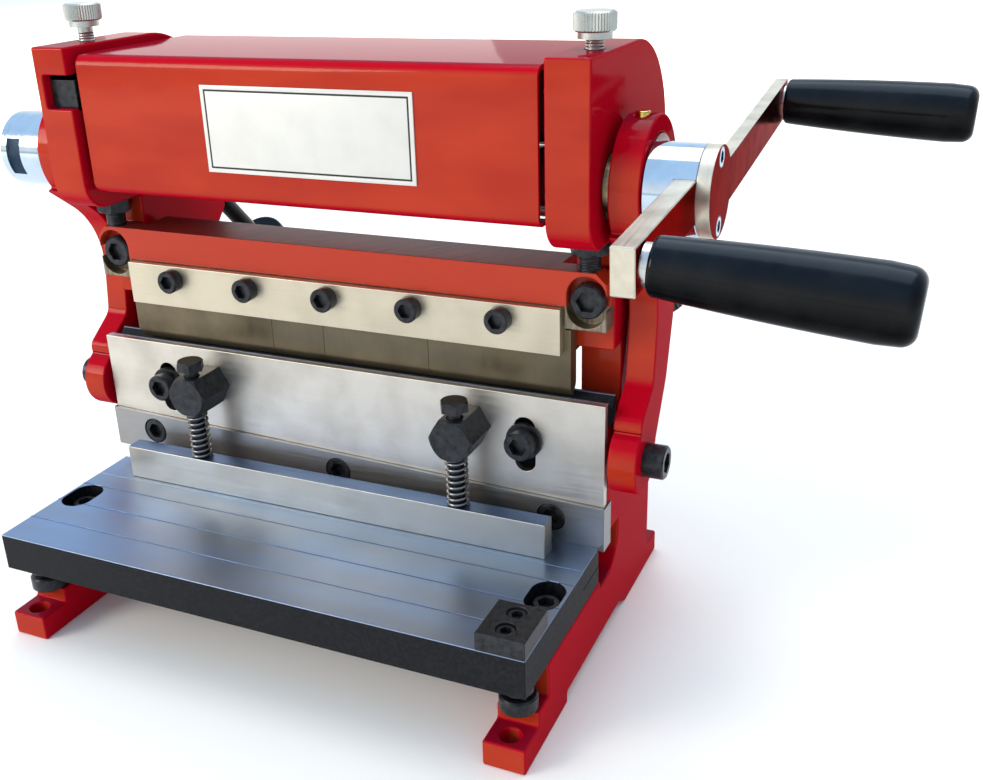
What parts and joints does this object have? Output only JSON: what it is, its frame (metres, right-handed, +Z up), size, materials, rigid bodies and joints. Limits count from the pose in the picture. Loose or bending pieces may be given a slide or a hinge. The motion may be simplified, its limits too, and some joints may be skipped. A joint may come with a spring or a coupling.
{
  "type": "combination sheet metal machine",
  "caption": "Bench machine that shears, folds and rolls sheet metal, worked by a crank over an eccentric shaft.",
  "frame": {"origin": "centre of the four foot bolt holes, on the plane the feet stand on", "axes": "+X along the blades to the crank side, +Y to the rear, +Z up"},
  "size_m": [0.3723, 0.2108, 0.2428],
  "materials": {
    "red_enamel": "gloss",
    "table_steel": "ground",
    "ground_steel": "ground",
    "tool_steel": "dark ground",
    "black_oxide": "black oxide",
    "spring_steel": "oiled",
    "roll_steel": "polished",
    "hub_chrome": "bright",
    "zinc_plate": "zinc plated",
    "bronze": "turned",
    "oiler_brass": "bright",
    "grip_plastic": "gloss",
    "label_metal": "satin"
  },
  "bodies": {
    "frame": {"side_frame_left": "red_enamel", "side_frame_right": "red_enamel", "table_plate": "table_steel", "lower_shear_blade": "ground_steel", "lower_blade_screws": "black_oxide", "table_screws": "black_oxide", "table_jacks": "black_oxide", "side_fence_block": "black_oxide", "side_fence_screws": "black_oxide", "rear_tie_bar": "ground_steel", "tie_bar_bolts": "black_oxide", "upper_beam": "red_enamel", "upper_beam_screws": "black_oxide", "beam_jacks": "black_oxide", "finger_clamp_bar": "ground_steel", "finger_clamp_screws": "black_oxide", "punch_finger_1": "tool_steel", "punch_finger_2": "tool_steel", "punch_finger_3": "tool_steel", "punch_finger_4": "tool_steel", "roll_cover": "red_enamel", "cover_rail": "ground_steel", "cover_screws": "black_oxide", "label_plate": "label_metal", "shaft_bushes": "bronze"},
    "ram": {"moving_beam": "red_enamel", "front_plate": "ground_steel", "front_plate_screws": "black_oxide", "v_die": "ground_steel", "upper_shear_blade": "ground_steel", "upper_blade_screws": "black_oxide", "rod_bolts": "black_oxide", "hold_down_posts": "black_oxide"},
    "hold_down": {"hold_down_bar": "ground_steel", "hold_down_bolts": "black_oxide", "hold_down_spring_left": "spring_steel", "hold_down_spring_right": "spring_steel"},
    "shaft": {"drive_shaft": "roll_steel", "eccentrics": "roll_steel", "hub_left": "hub_chrome", "hub_right": "hub_chrome", "hub_cap": "hub_chrome", "lever_screws": "hub_chrome", "crank_arm_front": "ground_steel", "crank_arm_rear": "ground_steel", "grip_spindles": "roll_steel"},
    "left_rod": {"con_rod_left": "red_enamel", "rod_oiler_left": "oiler_brass"},
    "right_rod": {"con_rod_right": "red_enamel", "rod_oiler_right": "oiler_brass"},
    "front_grip": {"grip_front": "grip_plastic"},
    "rear_grip": {"grip_rear": "grip_plastic"},
    "upper_carrier": {"upper_bearing_blocks": "black_oxide"},
    "top_roll": {"upper_roll": "roll_steel"},
    "left_thumb": {"thumb_screw_left": "zinc_plate"},
    "right_thumb": {"thumb_screw_right": "zinc_plate"},
    "rear_carrier": {"rear_bearing_blocks": "black_oxide"},
    "bending_roll": {"rear_roll": "roll_steel"},
    "left_rear_screw": {"rear_knob_left": "grip_plastic"},
    "right_rear_screw": {"rear_knob_right": "grip_plastic"}
  },
  "joints": [
    {"name": "shaft_turn", "type": "hinge", "parent": "frame", "child": "shaft", "pos_m": [0, 0.0084, 0.1835], "axis": [1, 0, 0], "range_deg": [-60.5, 24.5]},
    {"name": "ram_slide", "type": "slide", "parent": "frame", "child": "ram", "axis": [0, 0, 1], "range_m": [-0.00638, 0.00255], "deforming": ["hold_down_spring_left", "hold_down_spring_right"]},
    {"name": "left_rod_swing", "type": "hinge", "parent": "shaft", "child": "left_rod", "pos_m": [0, 0.0154, 0.1835], "axis": [1, 0, 0], "range_deg": [-26, 63]},
    {"name": "right_rod_swing", "type": "hinge", "parent": "shaft", "child": "right_rod", "pos_m": [0, 0.0154, 0.1835], "axis": [1, 0, 0], "range_deg": [-26, 63]},
    {"name": "front_grip_spin", "type": "hinge", "parent": "shaft", "child": "front_grip", "pos_m": [0.1459, -0.06347, 0.17923], "axis": [0.9976, 0, -0.0698], "continuous": true},
    {"name": "rear_grip_spin", "type": "hinge", "parent": "shaft", "child": "rear_grip", "pos_m": [0.1507, 0.11974, 0.1956], "axis": [0.9993, 0, -0.0384], "continuous": true},
    {"name": "hold_down_lift", "type": "slide", "parent": "frame", "child": "hold_down", "axis": [0, 0, 1], "range_m": [0, 0.005], "stiffness_N_per_m": 12000, "springref_m": -0.003, "deforming": ["hold_down_spring_left", "hold_down_spring_right"]},
    {"name": "upper_roll_lift", "type": "slide", "parent": "frame", "child": "upper_carrier", "axis": [0, 0, 1], "range_m": [0, 0.0018]},
    {"name": "upper_roll_spin", "type": "hinge", "parent": "upper_carrier", "child": "top_roll", "pos_m": [0, 0.0084, 0.2095], "axis": [1, 0, 0], "continuous": true},
    {"name": "left_thumb_turn", "type": "hinge", "parent": "upper_carrier", "child": "left_thumb", "pos_m": [-0.107, 0.0084, 0.2377], "axis": [0, 0, 1], "range_deg": [0, 660]},
    {"name": "right_thumb_turn", "type": "hinge", "parent": "upper_carrier", "child": "right_thumb", "pos_m": [0.107, 0.0084, 0.2355], "axis": [0, 0, 1], "range_deg": [0, 660]},
    {"name": "rear_roll_advance", "type": "slide", "parent": "frame", "child": "rear_carrier", "axis": [0, -0.7071, 0.7071], "range_m": [0, 0.01]},
    {"name": "rear_roll_spin", "type": "hinge", "parent": "rear_carrier", "child": "bending_roll", "pos_m": [0, 0.046, 0.18], "axis": [1, 0, 0], "continuous": true},
    {"name": "left_rear_screw_turn", "type": "hinge", "parent": "rear_carrier", "child": "left_rear_screw", "pos_m": [-0.1035, 0.046, 0.18], "axis": [0, -0.7071, 0.7071], "range_deg": [0, 2900]},
    {"name": "right_rear_screw_turn", "type": "hinge", "parent": "rear_carrier", "child": "right_rear_screw", "pos_m": [0.1035, 0.046, 0.18], "axis": [0, -0.7071, 0.7071], "range_deg": [0, 2900]}
  ],
  "couplings": [
    {"joint": "shaft_turn", "follows": "ram_slide", "rad_per_m": 163.93},
    {"joint": "left_rod_swing", "follows": "ram_slide", "rad_per_m": -167.21},
    {"joint": "right_rod_swing", "follows": "ram_slide", "rad_per_m": -167.21},
    {"joint": "left_thumb_turn", "follows": "upper_roll_lift", "rad_per_m": 6283.2},
    {"joint": "right_thumb_turn", "follows": "upper_roll_lift", "rad_per_m": 6283.2},
    {"joint": "left_rear_screw_turn", "follows": "rear_roll_advance", "rad_per_m": 5026.5},
    {"joint": "right_rear_screw_turn", "follows": "rear_roll_advance", "rad_per_m": 5026.5}
  ]
}
